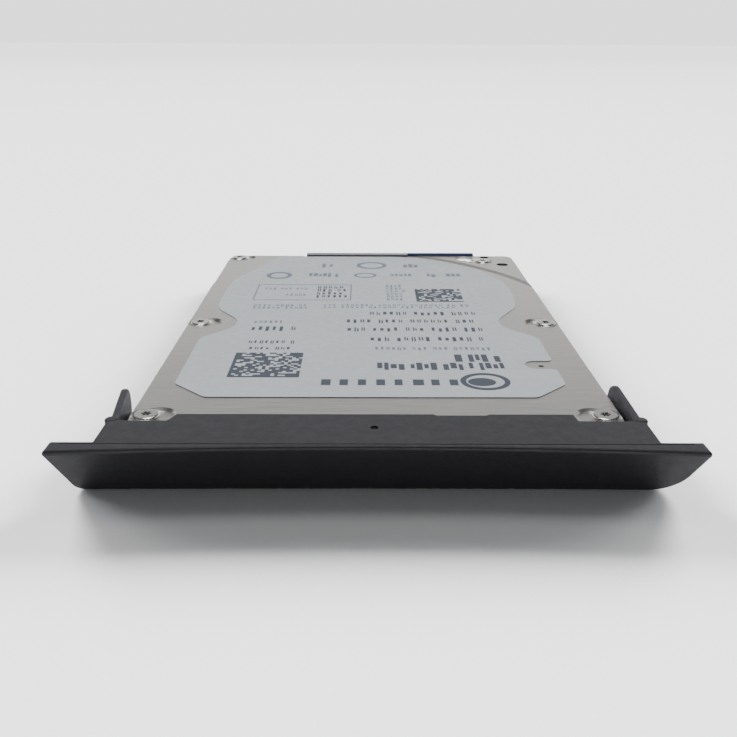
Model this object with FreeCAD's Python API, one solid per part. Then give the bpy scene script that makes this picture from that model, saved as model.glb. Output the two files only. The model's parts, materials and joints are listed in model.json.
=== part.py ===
"""2.5-inch, 7 mm hard disk drive held in a snap-on laptop caddy bezel.

Modelled in millimetres. X is the drive's width, Y runs from the bezel to the connector end, Z is up.
Places are worked out in the drive's own frame (front end of the casting at Y 0, its underside at Z 0)
and moved along Y at the end, so that the origin is below the middle of the whole object.
"""

import FreeCAD, Part
import math
import os

V = FreeCAD.Vector

# ---------------------------------------------------------------- driving dimensions
drive_width = 69.85
drive_length = 100.35
half_width = drive_width / 2

cover_top = 6.9              # the label brings the drive to its 7.0 mm height
cover_thickness = 0.6
cover_bottom = cover_top - cover_thickness
label_thickness = 0.1

floor_top = 2.4              # inner floor of the casting
board_ceiling = 1.95         # underside of the casting over the circuit board
board_bottom = 0.45
board_top = 1.15

side_hole_height = 3.0
side_hole_depth = 2.5
bottom_hole_depth = 2.5
mount_hole_radius = 1.25
bottom_hole_x = 61.72 / 2
front_hole_y = drive_length - 90.6
rear_hole_y = drive_length - 14.0

spindle_x, spindle_y = 0.0, 34.93
disk_radius = 32.5
disk_bore = 10.0
disk_bottom, disk_top = 3.6, 4.4
disk_middle = (disk_bottom + disk_top) / 2
pocket_radius = 32.95

pivot_x, pivot_y = 8.0, 72.5
head_reach = 35.0            # pivot axis to the middle of a slider
parked_radius = 33.6         # spindle axis to the middle of a parked slider

cover_screw_sites = [
    (-32.5, 3.15, 1), (32.5, 3.15, -1),
    (-32.5, 45.9, 1), (32.5, 45.9, -1),
    (-32.2, 97.6, 1), (26.9, 94.7, -1),
]                            # x, y, and the way that the dimple runs inward
screw_head_radius = 1.85
screw_shank_radius = 0.8
screw_head_height = 0.65
dimple_radius = 2.35
dimple_depth = 0.4
dimple_run = 1.7
seat_z = cover_top - dimple_depth
arc_x, arc_y = -17.0, 51.6    # centre of the arc pressed into the cover's rear corner
arc_radius = 55.0

# lip of the plug's hood, behind the cover
hood_rear, hood_top = 101.5, 7.3
hood_step_x = 9.0            # left of this the lip reaches further over the casting

# caddy bezel
fascia_half_top = 42.5
fascia_round = 0.4           # rounding of the front plate's rim
rim_corner = 0.5             # upper corners of the front plate
fascia_half_bottom = 40.4
caddy_top = 8.1
ledge_underside = 7.1
caddy_half = 36.6            # outer face of the side cheeks
cheek_inner = 35.1
front_top_middle = -9.5
front_top_end = -11.5
front_bottom_middle = -5.7
front_bottom_end = -6.0
fascia_back_top = -8.1
fascia_back_bottom = -4.1
ledge_rear = 1.0
ledge_notch_rear = -1.2
lip_thickness = 0.45
lip_rear = 1.8

hinge_x, hinge_y = 36.3, -0.7
knuckle_radius = 0.9
arm_bottom = 1.8
arm_inner, arm_outer = 35.4, 36.4
arm_nose_radius = 3.0
arm_splay = 1.3              # degrees that a clipped arm leans outward
right_nose_y, left_nose_y = 14.0, 12.4
left_open = 6.2              # the left arm stands this many degrees off its clipped place
peg_radius = 0.95
peg_tip_x = 33.85

front_reach = -10.927        # front-most point of the rounded front plate
origin_y = (hood_rear + front_reach) / 2


# ---------------------------------------------------------------- drawing helpers
def box(x0, x1, y0, y1, z0, z1):
    return Part.makeBox(x1 - x0, y1 - y0, z1 - z0, V(x0, y0, z0))


def rod(x, y, z0, z1, radius):
    return Part.makeCylinder(radius, z1 - z0, V(x, y, z0))


def tube(x, y, z0, z1, outer, inner):
    return rod(x, y, z0, z1, outer).cut(rod(x, y, z0, z1, inner))


def outline(corners):
    """A closed wire in the XY plane through (x, y, corner radius) corners."""
    joins = []
    count = len(corners)
    for i, (x, y, radius) in enumerate(corners):
        here = V(x, y, 0)
        before = (V(*corners[i - 1][:2], 0) - here).normalize()
        after = (V(*corners[(i + 1) % count][:2], 0) - here).normalize()
        if radius <= 0:
            joins.append((here, None, here))
            continue
        half = before.getAngle(after) / 2
        reach = radius / math.tan(half)
        centre = here + (before + after).normalize() * (radius / math.sin(half))
        middle = centre + (here - centre).normalize() * radius
        joins.append((here + before * reach, middle, here + after * reach))
    edges = []
    for i, (start, middle, end) in enumerate(joins):
        last = joins[i - 1][2]
        if last.distanceToPoint(start) > 1e-5:
            edges.append(Part.LineSegment(last, start).toShape())
        if middle is not None:
            edges.append(Part.Arc(start, middle, end).toShape())
    return Part.Wire(Part.__sortEdges__(edges))


def prism(corners, z0, z1):
    solid = Part.Face(outline(corners)).extrude(V(0, 0, z1 - z0))
    solid.translate(V(0, 0, z0))
    return solid


def rounded_box(x0, x1, y0, y1, z0, z1, radius):
    corners = [(x0, y0, radius), (x1, y0, radius), (x1, y1, radius), (x0, y1, radius)]
    return prism(corners, z0, z1)


def polar(x, y, radius, degrees):
    turn = math.radians(degrees)
    return V(x + radius * math.cos(turn), y + radius * math.sin(turn), 0)


def sector(x, y, inner, outer, start, end, z0, z1):
    """A piece of a ring, between two angles in degrees."""
    middle = (start + end) / 2
    edges = [
        Part.LineSegment(polar(x, y, inner, start), polar(x, y, outer, start)).toShape(),
        Part.Arc(polar(x, y, outer, start), polar(x, y, outer, middle), polar(x, y, outer, end)).toShape(),
        Part.LineSegment(polar(x, y, outer, end), polar(x, y, inner, end)).toShape(),
        Part.Arc(polar(x, y, inner, end), polar(x, y, inner, middle), polar(x, y, inner, start)).toShape(),
    ]
    solid = Part.Face(Part.Wire(edges)).extrude(V(0, 0, z1 - z0))
    solid.translate(V(0, 0, z0))
    return solid


def capsule(x0, y0, x1, y1, radius, z0, z1):
    """A bar with round ends between two points."""
    run = V(x1 - x0, y1 - y0, 0)
    side = V(-run.y, run.x, 0).normalize() * radius
    a, b = V(x0, y0, z0), V(x1, y1, z0)
    bar = Part.Face(Part.makePolygon([a + side, a - side, b - side, b + side, a + side]))
    bar = bar.extrude(V(0, 0, z1 - z0))
    return bar.fuse([rod(x0, y0, z0, z1, radius), rod(x1, y1, z0, z1, radius)]).removeSplitter()


def mirrored(shape):
    return shape.mirror(V(0, 0, 0), V(1, 0, 0))


def soften(shape, radius, picks):
    """Rounds the edges that picks chooses."""
    edges = [e for e in shape.Edges if picks(e)]
    return shape.makeFillet(radius, edges)


def group(shapes):
    return Part.makeCompound(shapes)


# ---------------------------------------------------------------- screws
def star_recess(x, y, z0, z1, reach):
    """A six-lobed drive recess."""
    lobes = [rod(x + reach * 0.72 * math.cos(math.radians(60 * k)),
                 y + reach * 0.72 * math.sin(math.radians(60 * k)), z0, z1, reach * 0.28) for k in range(6)]
    return rod(x, y, z0, z1, reach * 0.66).fuse(lobes)


def screw_down(x, y, seat, head_radius, head_height, shank_radius, tip_z, reach):
    """A pan-head screw whose head stands on the plane z = seat and whose shank points down."""
    head = rod(x, y, seat, seat + head_height, head_radius)
    top = seat + head_height
    head = soften(head, head_height * 0.4, lambda e: abs(e.BoundBox.ZMin - top) < 1e-6 and e.Length > 1)
    head = head.cut(star_recess(x, y, top - head_height * 0.6, top + 0.1, reach))
    return head.fuse(rod(x, y, tip_z, seat, shank_radius))


def screw_up(x, y, seat, head_radius, head_height, shank_radius, tip_z, reach):
    """The same screw driven from below: its head hangs under the plane z = seat."""
    low = seat - head_height
    head = rod(x, y, low, seat, head_radius)
    head = soften(head, head_height * 0.4, lambda e: abs(e.BoundBox.ZMax - low) < 1e-6 and e.Length > 1)
    head = head.cut(star_recess(x, y, low - 0.1, low + head_height * 0.6, reach))
    return head.fuse(rod(x, y, seat, tip_z, shank_radius))


# ---------------------------------------------------------------- caddy bezel
def fascia_section(z, half, middle, end, back):
    """One level of the front plate: a hollow front edge and a straight back."""
    left, right = V(-half, end, z), V(half, end, z)
    return Part.Wire([
        Part.Arc(left, V(0, middle, z), right).toShape(),
        Part.LineSegment(right, V(half, back, z)).toShape(),
        Part.LineSegment(V(half, back, z), V(-half, back, z)).toShape(),
        Part.LineSegment(V(-half, back, z), left).toShape(),
    ])


def fascia():
    """The sloping front plate, wider at its top than at its foot, with one foot corner cut rounder."""
    blank_half = fascia_half_top + 2
    plate = Part.makeLoft([
        fascia_section(0, blank_half, front_bottom_middle, front_bottom_end, fascia_back_bottom),
        fascia_section(caddy_top, blank_half, front_top_middle, front_top_end, fascia_back_top),
    ], True, True)
    shape = outline([
        (-fascia_half_bottom, 0, 1.6), (fascia_half_bottom, 0, 4.6),
        (fascia_half_top, caddy_top, rim_corner), (-fascia_half_top, caddy_top, rim_corner),
    ])
    stencil = Part.Face(shape).extrude(V(0, 0, 20))
    stencil.rotate(V(0, 0, 0), V(1, 0, 0), 90)
    plate = plate.common(stencil)
    return soften(plate, fascia_round, lambda e: is_front_edge(e))


def is_front_edge(edge):
    """True for the edges around the plate's front face."""
    point = edge.valueAt((edge.FirstParameter + edge.LastParameter) / 2)
    share = point.z / caddy_top
    bow = (point.x / fascia_half_top) ** 2
    middle = front_bottom_middle + (front_top_middle - front_bottom_middle) * share
    end = front_bottom_end + (front_top_end - front_bottom_end) * share
    return abs(point.y - (middle + (end - middle) * bow)) < 0.35


def caddy_bezel():
    """Front plate, ledge over the drive, two cheeks, foot lip and the stiffening ribs behind the plate."""
    back = fascia_back_top - 0.3
    step = 0.35
    ledge = prism([
        (-caddy_half, back, 0), (caddy_half, back, 0),
        (caddy_half, ledge_notch_rear, 0.3), (27.6, ledge_notch_rear, 0.2), (27.4, ledge_rear, 0.2),
        (15.6, ledge_rear, 0.2), (15.2, ledge_rear - step, 0.2), (8.3, ledge_rear - step, 0.2),
        (7.9, ledge_rear, 0.2), (-27.7, ledge_rear, 0.3), (-28.6, ledge_notch_rear, 0.2),
        (-caddy_half, ledge_notch_rear, 0.3),
    ], ledge_underside, caddy_top)
    ledge = soften(ledge, 0.2, lambda e: (abs(e.BoundBox.ZMin - caddy_top) < 1e-6
                                          and e.BoundBox.YMin > back + 0.1))
    lip = prism([
        (-34.5, fascia_back_bottom - 0.3, 0), (34.5, fascia_back_bottom - 0.3, 0),
        (34.5, lip_rear, 0.8), (-34.5, lip_rear, 0.8),
    ], 0, lip_thickness)
    slope = (fascia_back_top - fascia_back_bottom) / caddy_top
    wedge = Part.Face(Part.makePolygon([
        V(0, fascia_back_bottom - 0.3, 0), V(0, hinge_y - knuckle_radius - 0.05, 0),
        V(0, hinge_y - knuckle_radius - 0.05, caddy_top), V(0, fascia_back_top - 0.3, caddy_top),
        V(0, fascia_back_bottom - 0.3, 0),
    ]))
    solids = [fascia(), ledge, lip]
    for side in (-1, 1):
        cheek = wedge.extrude(V(caddy_half - cheek_inner, 0, 0))
        cheek.translate(V(cheek_inner if side > 0 else -caddy_half, 0, 0))
        solids.append(cheek)
    rib_face = Part.Face(Part.makePolygon([
        V(0, fascia_back_bottom - 0.3, 0.2), V(0, -0.25, 0.2), V(0, -0.25, ledge_underside + 0.2),
        V(0, fascia_back_bottom - 0.3 + slope * (ledge_underside + 0.2), ledge_underside + 0.2),
        V(0, fascia_back_bottom - 0.3, 0.2),
    ]))
    rib_count, rib_pitch, rib_width = 7, 9.9, 1.0
    for k in range(rib_count):
        rib = rib_face.extrude(V(rib_width, 0, 0))
        rib.translate(V((k - (rib_count - 1) / 2) * rib_pitch - rib_width / 2, 0, 0))
        solids.append(rib)
    body = solids[0].fuse(solids[1:]).removeSplitter()
    gate = Part.makeSphere(0.6, V(-0.35, -3.5, caddy_top + 0.2))
    parting = box(-40.8, 40.8, -8.62, -8.47, caddy_top - 0.09, caddy_top + 1)
    for side in (-1, 1):
        socket = rod(side * hinge_x, hinge_y, -1, caddy_top + 1, knuckle_radius + 0.08)
        body = body.cut(socket)
    return body.cut([gate, parting])


def latch_arm(nose_y):
    """Right-hand side arm: knuckle, flat spring leaf with a round nose, and the peg for the side hole."""
    side_view = outline([
        (hinge_y, arm_bottom, 0), (nose_y, arm_bottom, arm_nose_radius),
        (nose_y, caddy_top, arm_nose_radius), (hinge_y, caddy_top, 0),
    ])
    leaf = Part.Face(side_view).extrude(V(0, 0, arm_outer - arm_inner))
    leaf.rotate(V(0, 0, 0), V(1, 0, 0), 90)
    leaf.rotate(V(0, 0, 0), V(0, 0, 1), 90)
    leaf.translate(V(arm_inner, 0, 0))
    leaf = soften(leaf, 0.3, lambda e: e.BoundBox.XLength < 1e-6 and e.BoundBox.YMax > hinge_y + 0.1)
    leaf.rotate(V(hinge_x, hinge_y, 0), V(0, 0, 1), -arm_splay)
    knuckle = rod(hinge_x, hinge_y, arm_bottom, caddy_top, knuckle_radius)
    knuckle = soften(knuckle, 0.25, lambda e: e.BoundBox.ZLength < 1e-6 and e.Length > 3)
    peg_foot = V(peg_tip_x, front_hole_y, side_hole_height)
    peg = Part.makeCylinder(peg_radius, 36.2 - peg_tip_x, peg_foot, V(1, 0, 0))
    peg = soften(peg, 0.25, lambda e: abs(e.BoundBox.XMax - peg_tip_x) < 1e-6 and e.Length > 3)
    return leaf.fuse([knuckle, peg]).removeSplitter()


def left_latch_arm():
    """The left arm, a little shorter and standing off the drive."""
    arm = mirrored(latch_arm(left_nose_y))
    arm.rotate(V(-hinge_x, hinge_y, 0), V(0, 0, 1), left_open)
    return arm


# ---------------------------------------------------------------- enclosure
def cavity(grow, z0, z1):
    """Inside space of the drive: the round disk pocket and the actuator's bay."""
    side, shoulder, rear = 30.9 + grow, 28.4 + grow, 92.6 + grow
    bay = prism([
        (-side, 52 - grow, 2), (side, 52 - grow, 2), (side, 80, 1), (shoulder, 82.5, 1),
        (shoulder, 90.5, 1.5), (25.5 + grow, rear, 1), (-26, rear, 2), (-shoulder, 90, 2),
        (-shoulder, 82.5, 1), (-side, 80, 1),
    ], z0, z1)
    return bay.fuse(rod(spindle_x, spindle_y, z0, z1, pocket_radius + grow))


board_screw_sites = [(-24.5, 53.6), (24.5, 53.6), (-24.5, 96.0), (23.4, 89.6)]
connector_x = 4.8            # middle of the serial plug
bay_left, bay_right, bay_front = connector_x - 21.0, connector_x + 20.8, 93.8
cover_holes = [(22.6, 97.2, 2.0), (27.8, 98.6, 1.05), (31.2, 91.4, 1.35)]


def board_outline(grow):
    """Circuit board, shaped around the motor and the mounting lands."""
    side = 28.0 + grow
    return [
        (-side, 50.6 - grow, 1.5), (-15.5, 50.6 - grow, 1), (-9, 54.6 - grow, 3), (9, 54.6 - grow, 3),
        (15.5, 50.6 - grow, 1), (side, 50.6 - grow, 1.5), (side, 81.5, 0.6), (26.6 + grow, 82.9, 0.6),
        (26.6 + grow, 99.0 + grow, 1), (-side, 99.0 + grow, 1),
    ]


def base_casting():
    """Die-cast aluminium tub, with the board's recess, the connector's bay and all its tapped holes."""
    tub = prism([
        (-half_width, 0, 1.6), (half_width, 0, 1.6),
        (half_width, drive_length, 2.6), (-half_width, drive_length, 3.0),
    ], 0, cover_bottom)
    tub = soften(tub, 0.35, lambda e: abs(e.BoundBox.ZMax) < 1e-6)
    tub = tub.cut(cavity(0, floor_top, cover_bottom + 1))
    tub = tub.cut(rod(spindle_x, spindle_y, 0.9, floor_top + 1, 13.2))
    groove = cavity(0.45, cover_bottom - 0.2, cover_bottom + 1)
    groove = groove.cut(cavity(0.05, cover_bottom - 0.3, cover_bottom + 2))
    tub = tub.cut(groove)
    recess = prism(board_outline(0.3), -1, board_ceiling)
    bosses = [rod(x, y, board_top, board_ceiling, 1.6) for x, y in board_screw_sites]
    tub = tub.cut(recess.cut(bosses))
    tub = tub.cut(box(bay_left, bay_right, bay_front, drive_length + 1, -1, 5.5))
    tub = tub.cut(box(-half_width - 1, half_width + 1, -1, 2.2, -1, 0.55))
    # shallow cored areas under the disk, with a ring around the motor
    cored = rod(spindle_x, spindle_y, -1, 0.35, 27.5).common(box(-40, 40, 4, 49, -2, 2))
    tub = tub.cut(cored.cut(rod(spindle_x, spindle_y, -2, 2, 14.6)))
    tub = tub.cut(tube(spindle_x, spindle_y, -1, 0.3, 12.4, 11.2))
    tub = tub.cut(rod(spindle_x, spindle_y, -1, 0.2, 4.0))
    # long shallow panels along both flanks
    for side in (-1, 1):
        for y0, y1 in ((15.5, 40.5), (51.5, 80.0)):
            panel = rounded_box(y0, y1, 1.1, 5.1, 0, 1.2, 0.8)
            panel.rotate(V(0, 0, 0), V(1, 0, 0), 90)
            panel.rotate(V(0, 0, 0), V(0, 0, 1), 90)
            panel.translate(V(half_width - 0.3 if side > 0 else -half_width - 0.9, 0, 0))
            tub = tub.cut(panel)
    holes = []
    for x, y, way in cover_screw_sites:
        holes.append(rod(x, y, 3.0, cover_bottom + 1, screw_shank_radius + 0.03))
    for x, y in board_screw_sites:
        holes.append(rod(x, y, 0, 2.2, 0.73))
    for x in (-bottom_hole_x, bottom_hole_x):
        for y in (front_hole_y, rear_hole_y):
            holes.append(rod(x, y, -1, bottom_hole_depth, mount_hole_radius))
    for side in (-1, 1):
        for y in (front_hole_y, rear_hole_y):
            start = V(side * (half_width - side_hole_depth), y, side_hole_height)
            holes.append(Part.makeCylinder(mount_hole_radius, side_hole_depth + 1, start, V(side, 0, 0)))
    for x, y, radius in cover_holes:
        holes.append(rod(x, y, 4.6 if radius < 1.9 else 5.9, cover_bottom + 1, radius))
    holes.append(rod(pivot_x, pivot_y, floor_top - 0.4, floor_top + 1, 1.33))
    holes.append(rounded_box(-21.1, -6.9, 81.9, 86.1, board_ceiling - 0.1, floor_top + 0.1, 0.3))
    holes.append(box(-3.3, 3.3, 48.6, 50.6, 0.8, 1.95))
    return tub.cut(holes)


def top_cover():
    """Brushed steel lid with screw dimples, a pressed arc in its rear corner and its access holes."""
    edge = 0.12
    waist = 73.0
    lid = prism([
        (-half_width + edge, edge, 1.6), (half_width - edge, edge, 1.6),
        (half_width - edge, waist, 3), (half_width - 0.4, waist + 2.4, 3), (half_width - 0.4, 100.1, 2.4),
        (25.6, 100.0, 0.5), (25.2, 100.35, 0.5), (hood_step_x, 100.35, 0), (hood_step_x, 99.2, 0),
        (-16.2, 99.2, 0.3), (-16.8, 99.9, 0.5),
        (-29.4, 100.0, 1), (-30.2, 100.2, 1), (-half_width + 0.4, 100.2, 3),
        (-half_width + 0.4, waist + 2.4, 3), (-half_width + edge, waist, 3),
    ], cover_bottom, cover_top)
    lid = soften(lid, 0.16, lambda e: abs(e.BoundBox.ZMin - cover_top) < 1e-6)
    cuts = [pressed_arc()]
    for x, y, way in cover_screw_sites:
        dimple = capsule(x, y, x + way * dimple_run, y + 0.35, dimple_radius, seat_z, cover_top + 1)
        floor_edges = [e for e in dimple.Edges if abs(e.BoundBox.ZMax - seat_z) < 1e-6]
        cuts.append(dimple.makeChamfer(dimple_depth * 0.9, floor_edges))
        cuts.append(rod(x, y, cover_bottom - 1, cover_top, screw_shank_radius + 0.1))
    for x, y, radius in cover_holes:
        cuts.append(rod(x, y, cover_bottom - 1, cover_top + 1, radius))
    cuts.append(rod(27.2, 22.95, cover_bottom - 1, cover_top + 1, 0.45))
    cuts.append(rod(pivot_x, pivot_y, cover_top - 0.35, cover_top + 1, 1.7))
    cuts.append(rod(pivot_x, pivot_y, cover_bottom - 1, cover_top, 0.75))
    return lid.cut(cuts)


def pressed_arc():
    """Shallow channel over the voice coil, steep inside and gently sloped outside."""
    depth, floor_width, slope_width, rise = 0.2, 0.45, 1.3, 0.25
    low = V(arc_x, arc_y, cover_top - depth)
    foot = arc_radius + floor_width
    outer = Part.makeCone(foot, foot + slope_width * rise / depth, rise, low)
    inner = Part.makeCone(arc_radius, arc_radius - 0.2, rise, low)
    return outer.cut(inner).common(box(0, 40, 60, 110, 0, 10))


def label():
    """Paper label, cut around the middle screws and the breather hole."""
    left, right, front, rear = -31.0, 29.45, 9.6, 98.6
    arc = 28.0
    return prism([
        (-25.6, front, 1.5), (24.2, front, 1.8), (right, 14.8, 1.8), (right, 21.45, 1.0),
        (24.65, 21.45, 1.85), (24.65, 25.2, 1.85), (right, 25.2, 0.9), (right, 37.2, 3.0),
        (22.1, 45.0, 6.8), (28.6, 56.2, 8), (29.45, 66.0, 20), (29.35, 79.2, arc), (16.5, 95.2, arc),
        (6.6, rear, 6), (-22.4, rear, 1.0), (-30.4, 77.0, 9), (left, 71.0, 9), (left, 55.2, 9),
        (-23.9, 44.9, 6.6), (left, 36.6, 3.0), (left, 15.0, 1.5),
    ], cover_top, cover_top + label_thickness)


def cover_gasket():
    ring = cavity(0.42, cover_bottom - 0.2, cover_bottom)
    return ring.cut(cavity(0.08, cover_bottom - 1, cover_bottom + 1))


# ---------------------------------------------------------------- circuit board
def circuit_board():
    board = prism(board_outline(0), board_bottom, board_top)
    board = board.cut(rod(spindle_x, spindle_y, 0, 3, 17.0))
    board = board.cut(box(-3.4, 3.4, 48, 52.4, 0, 3))
    board = board.cut(box(bay_left + 0.2, bay_right - 0.2, 96.4, 101, 0, 3))
    return board.cut([rod(x, y, 0, 3, 0.85) for x, y in board_screw_sites])


def chip(x, y, width, depth, height):
    """A flat package with bevelled upper edges."""
    body = box(x - width / 2, x + width / 2, y - depth / 2, y + depth / 2, board_top, board_top + height)
    rim = [e for e in body.Edges if abs(e.BoundBox.ZMin - board_top - height) < 1e-6]
    return body.makeChamfer(0.1, rim)


def small_components():
    """Capacitors and resistors in rows beside the packages."""
    rows = [(-24, 60, 6, 0, 2.4), (-24, 66, 6, 0, 2.4), (-5, 60, 5, 0, 2.0),
            (20, 67, 0, 5, 2.2), (23.5, 67, 0, 5, 2.2)]
    parts = []
    for x, y, along_x, along_y, pitch in rows:
        for k in range(max(along_x, along_y)):
            cx = x + (k * pitch if along_x else 0)
            cy = y + (k * pitch if along_y else 0)
            parts.append(box(cx - 0.5, cx + 0.5, cy - 0.3, cy + 0.3, board_top, board_top + 0.5))
    return group(parts)


def test_pads():
    """Gold pads on the outer face of the board."""
    pads = []
    for row in range(2):
        for k in range(9):
            pads.append(rod(-20 + k * 2.4, 74 + row * 2.6, board_bottom - 0.04, board_bottom, 0.6))
    for k in range(6):
        pads.append(rod(5 + k * 2.2, 88, board_bottom - 0.04, board_bottom, 0.5))
    return group(pads)


contact_pitch = 1.27
tongue_bottom, tongue_top = 2.9, 4.1
signal_left, signal_width = connector_x - 16.4, 9.6
power_left, power_width = connector_x - 4.3, 20.4
key_width, key_depth = 1.1, 1.1


def data_connector():
    """Serial plug: housing block, two keyed tongues and a guide post at each end."""
    left, right = connector_x - 20.7, connector_x + 20.5
    block = box(left, right, 94.2, 96.3, board_top, 5.3)
    posts = [rounded_box(x0, x0 + 2.6, 95.5, 100.2, 1.3, 5.1, 0.25) for x0 in (left, right - 2.6)]
    tongues = []
    for x0, width in ((signal_left, signal_width), (power_left, power_width)):
        end = x0 + width
        tongues.append(box(x0, end, 96, 100.1, tongue_bottom, tongue_top))
        tongues.append(box(end - key_width, end, 96, 100.1, tongue_bottom - key_depth, tongue_bottom + 0.1))
    plug = block.fuse(posts + tongues).removeSplitter()
    hood = box(left, right, 94.2, hood_rear, 5.0, 5.45)
    lip = box(left, right, 100.42, hood_rear, 5.0, hood_top)
    tread = box(left, hood_step_x - 0.05, 99.27, hood_rear, cover_bottom + 0.03, hood_top)
    lip = lip.fuse(tread).removeSplitter()
    lip = soften(lip, 0.2, lambda e: e.BoundBox.ZMin > hood_top - 0.01 and e.BoundBox.XLength > 5)
    plug = plug.fuse([hood, lip]).removeSplitter()
    slots = []
    for x in contact_places():
        slots.append(box(x - 0.42, x + 0.42, 96.3, 99.6, tongue_bottom - 1, tongue_bottom + 0.12))
    return plug.cut(slots)


def contact_places():
    """Middle of each of the 7 signal and 15 power contacts."""
    signal = [signal_left + 0.62 + contact_pitch * k for k in range(7)]
    power = [power_left + 0.76 + contact_pitch * k for k in range(15)]
    return signal + power


def connector_contacts():
    low, high = tongue_bottom - 0.03, tongue_bottom + 0.12
    return group([box(x - 0.4, x + 0.4, 96.32, 99.55, low, high) for x in contact_places()])


# ---------------------------------------------------------------- spindle motor and disk
stator_bottom, stator_top = 1.55, 2.55
tooth_count = 9


def stator_core():
    core = tube(spindle_x, spindle_y, stator_bottom, stator_top, 5.4, 3.9)
    pieces = []
    for k in range(tooth_count):
        turn = 360 / tooth_count * k
        tooth = box(spindle_x + 5.0, spindle_x + 8.8, spindle_y - 0.6, spindle_y + 0.6,
                    stator_bottom, stator_top)
        tooth.rotate(V(spindle_x, spindle_y, 0), V(0, 0, 1), turn)
        shoe = sector(spindle_x, spindle_y, 8.5, 9.6, turn - 16, turn + 16, stator_bottom, stator_top)
        pieces += [tooth, shoe]
    return core.fuse(pieces).removeSplitter()


def stator_coils():
    coils = []
    for k in range(tooth_count):
        coil = rounded_box(5.75, 8.2, -1.3, 1.3, stator_bottom - 0.45, stator_top + 0.4, 0.5)
        coil = coil.cut(box(5, 9, -0.62, 0.62, stator_bottom - 0.02, stator_top + 0.02))
        coil.rotate(V(0, 0, 0), V(0, 0, 1), 360 / tooth_count * k)
        coil.translate(V(spindle_x, spindle_y, 0))
        coils.append(coil)
    return group(coils)


def bearing_sleeve():
    sleeve = tube(spindle_x, spindle_y, 0.9, 3.95, 3.0, 1.3)
    return sleeve.fuse(tube(spindle_x, spindle_y, 0.9, 1.4, 4.6, 1.3)).fuse(
        rod(spindle_x, spindle_y, 0.9, 1.1, 1.5)).fuse(tube(spindle_x, spindle_y, 1.4, 2.6, 3.85, 2.9))


def spindle_shaft():
    return rod(spindle_x, spindle_y, 1.15, 4.1, 1.25)


def spindle_hub():
    hub = rod(spindle_x, spindle_y, 3.05, 4.9, disk_bore - 0.05)
    hub = hub.fuse(rod(spindle_x, spindle_y, 3.05, disk_bottom, 12.4))
    hub = hub.fuse(tube(spindle_x, spindle_y, 1.3, 3.1, 12.4, 11.5))
    hub = hub.cut(rod(spindle_x, spindle_y, 2, 4.1, 3.2))
    holes = [rod(x, y, 3.9, 6, 0.5) for x, y in clamp_screw_sites()]
    return hub.cut(holes)


def rotor_magnet():
    return tube(spindle_x, spindle_y, 1.35, 2.95, 11.5, 10.1)


def clamp_screw_sites():
    return [(spindle_x + 6.4 * math.cos(math.radians(60 * k)),
             spindle_y + 6.4 * math.sin(math.radians(60 * k)))
            for k in range(6)]


def platter():
    disk = tube(spindle_x, spindle_y, disk_bottom, disk_top, disk_radius, disk_bore)
    return disk.makeChamfer(0.12, [e for e in disk.Edges if e.BoundBox.ZLength < 1e-6])


def disk_clamp():
    clamp = rod(spindle_x, spindle_y, 4.9, 5.25, 11.3)
    clamp = clamp.fuse(tube(spindle_x, spindle_y, disk_top, 4.95, 11.3, 10.2))
    clamp = clamp.cut(rod(spindle_x, spindle_y, 4, 6, 2.2))
    return clamp.cut([rod(x, y, 4, 6, 0.6) for x, y in clamp_screw_sites()])


def clamp_screws():
    return group([screw_down(x, y, 5.25, 1.15, 0.45, 0.5, 4.0, 0.55) for x, y in clamp_screw_sites()])


# ---------------------------------------------------------------- actuator
centre_distance = math.hypot(pivot_x - spindle_x, pivot_y - spindle_y)
spindle_direction = math.degrees(math.atan2(spindle_y - pivot_y, spindle_x - pivot_x))
parked_offset = math.degrees(math.acos(
    (head_reach ** 2 + centre_distance ** 2 - parked_radius ** 2) / (2 * head_reach * centre_distance)))
parked_direction = spindle_direction - parked_offset
swing = 34.0                 # from the ramp to the innermost track
coil_direction = parked_direction + 180
magnet_direction = coil_direction + swing / 2
hub_radius = 5.2
sleeve_radius = 4.0
arm_gap = 0.75               # disk's mid-plane to the near face of each arm
arm_plate = 0.5
coil_bottom, coil_top = 3.6, 4.5
pad_face = -5.35             # side of the arm block that carries the flexible circuit


def parked(shape):
    """Turns a piece drawn along +X from the pivot into its parked place."""
    shape.rotate(V(0, 0, 0), V(0, 0, 1), parked_direction)
    shape.translate(V(pivot_x, pivot_y, 0))
    return shape


def both_sides(draw):
    """The upper and lower copy of a piece that is drawn above the disk's mid-plane."""
    upper = draw()
    lower = upper.mirror(V(0, 0, disk_middle), V(0, 0, 1))
    return upper, lower


def arm_block():
    hub = tube(0, 0, 2.6, 5.4, hub_radius, sleeve_radius)

    def arm():
        plate = prism([(0, -4.6, 0), (9, -3.6, 3), (23.5, -2.0, 1.2),
                       (23.5, 2.0, 1.2), (9, 3.6, 3), (0, 4.6, 0)],
                      disk_middle + arm_gap, disk_middle + arm_gap + arm_plate)
        window = prism([(8.5, -1.7, 0.8), (16.5, -0.9, 0.6), (16.5, 0.9, 0.6), (8.5, 1.7, 0.8)], 0, 10)
        return plate.cut([rod(0, 0, 0, 10, sleeve_radius), window])
    upper, lower = both_sides(arm)
    pad = box(0.5, 6.4, pad_face, -3.4, 3.1, 4.9).cut(rod(0, 0, 0, 10, sleeve_radius))
    return parked(hub.fuse([upper, lower, pad]).removeSplitter())


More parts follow.
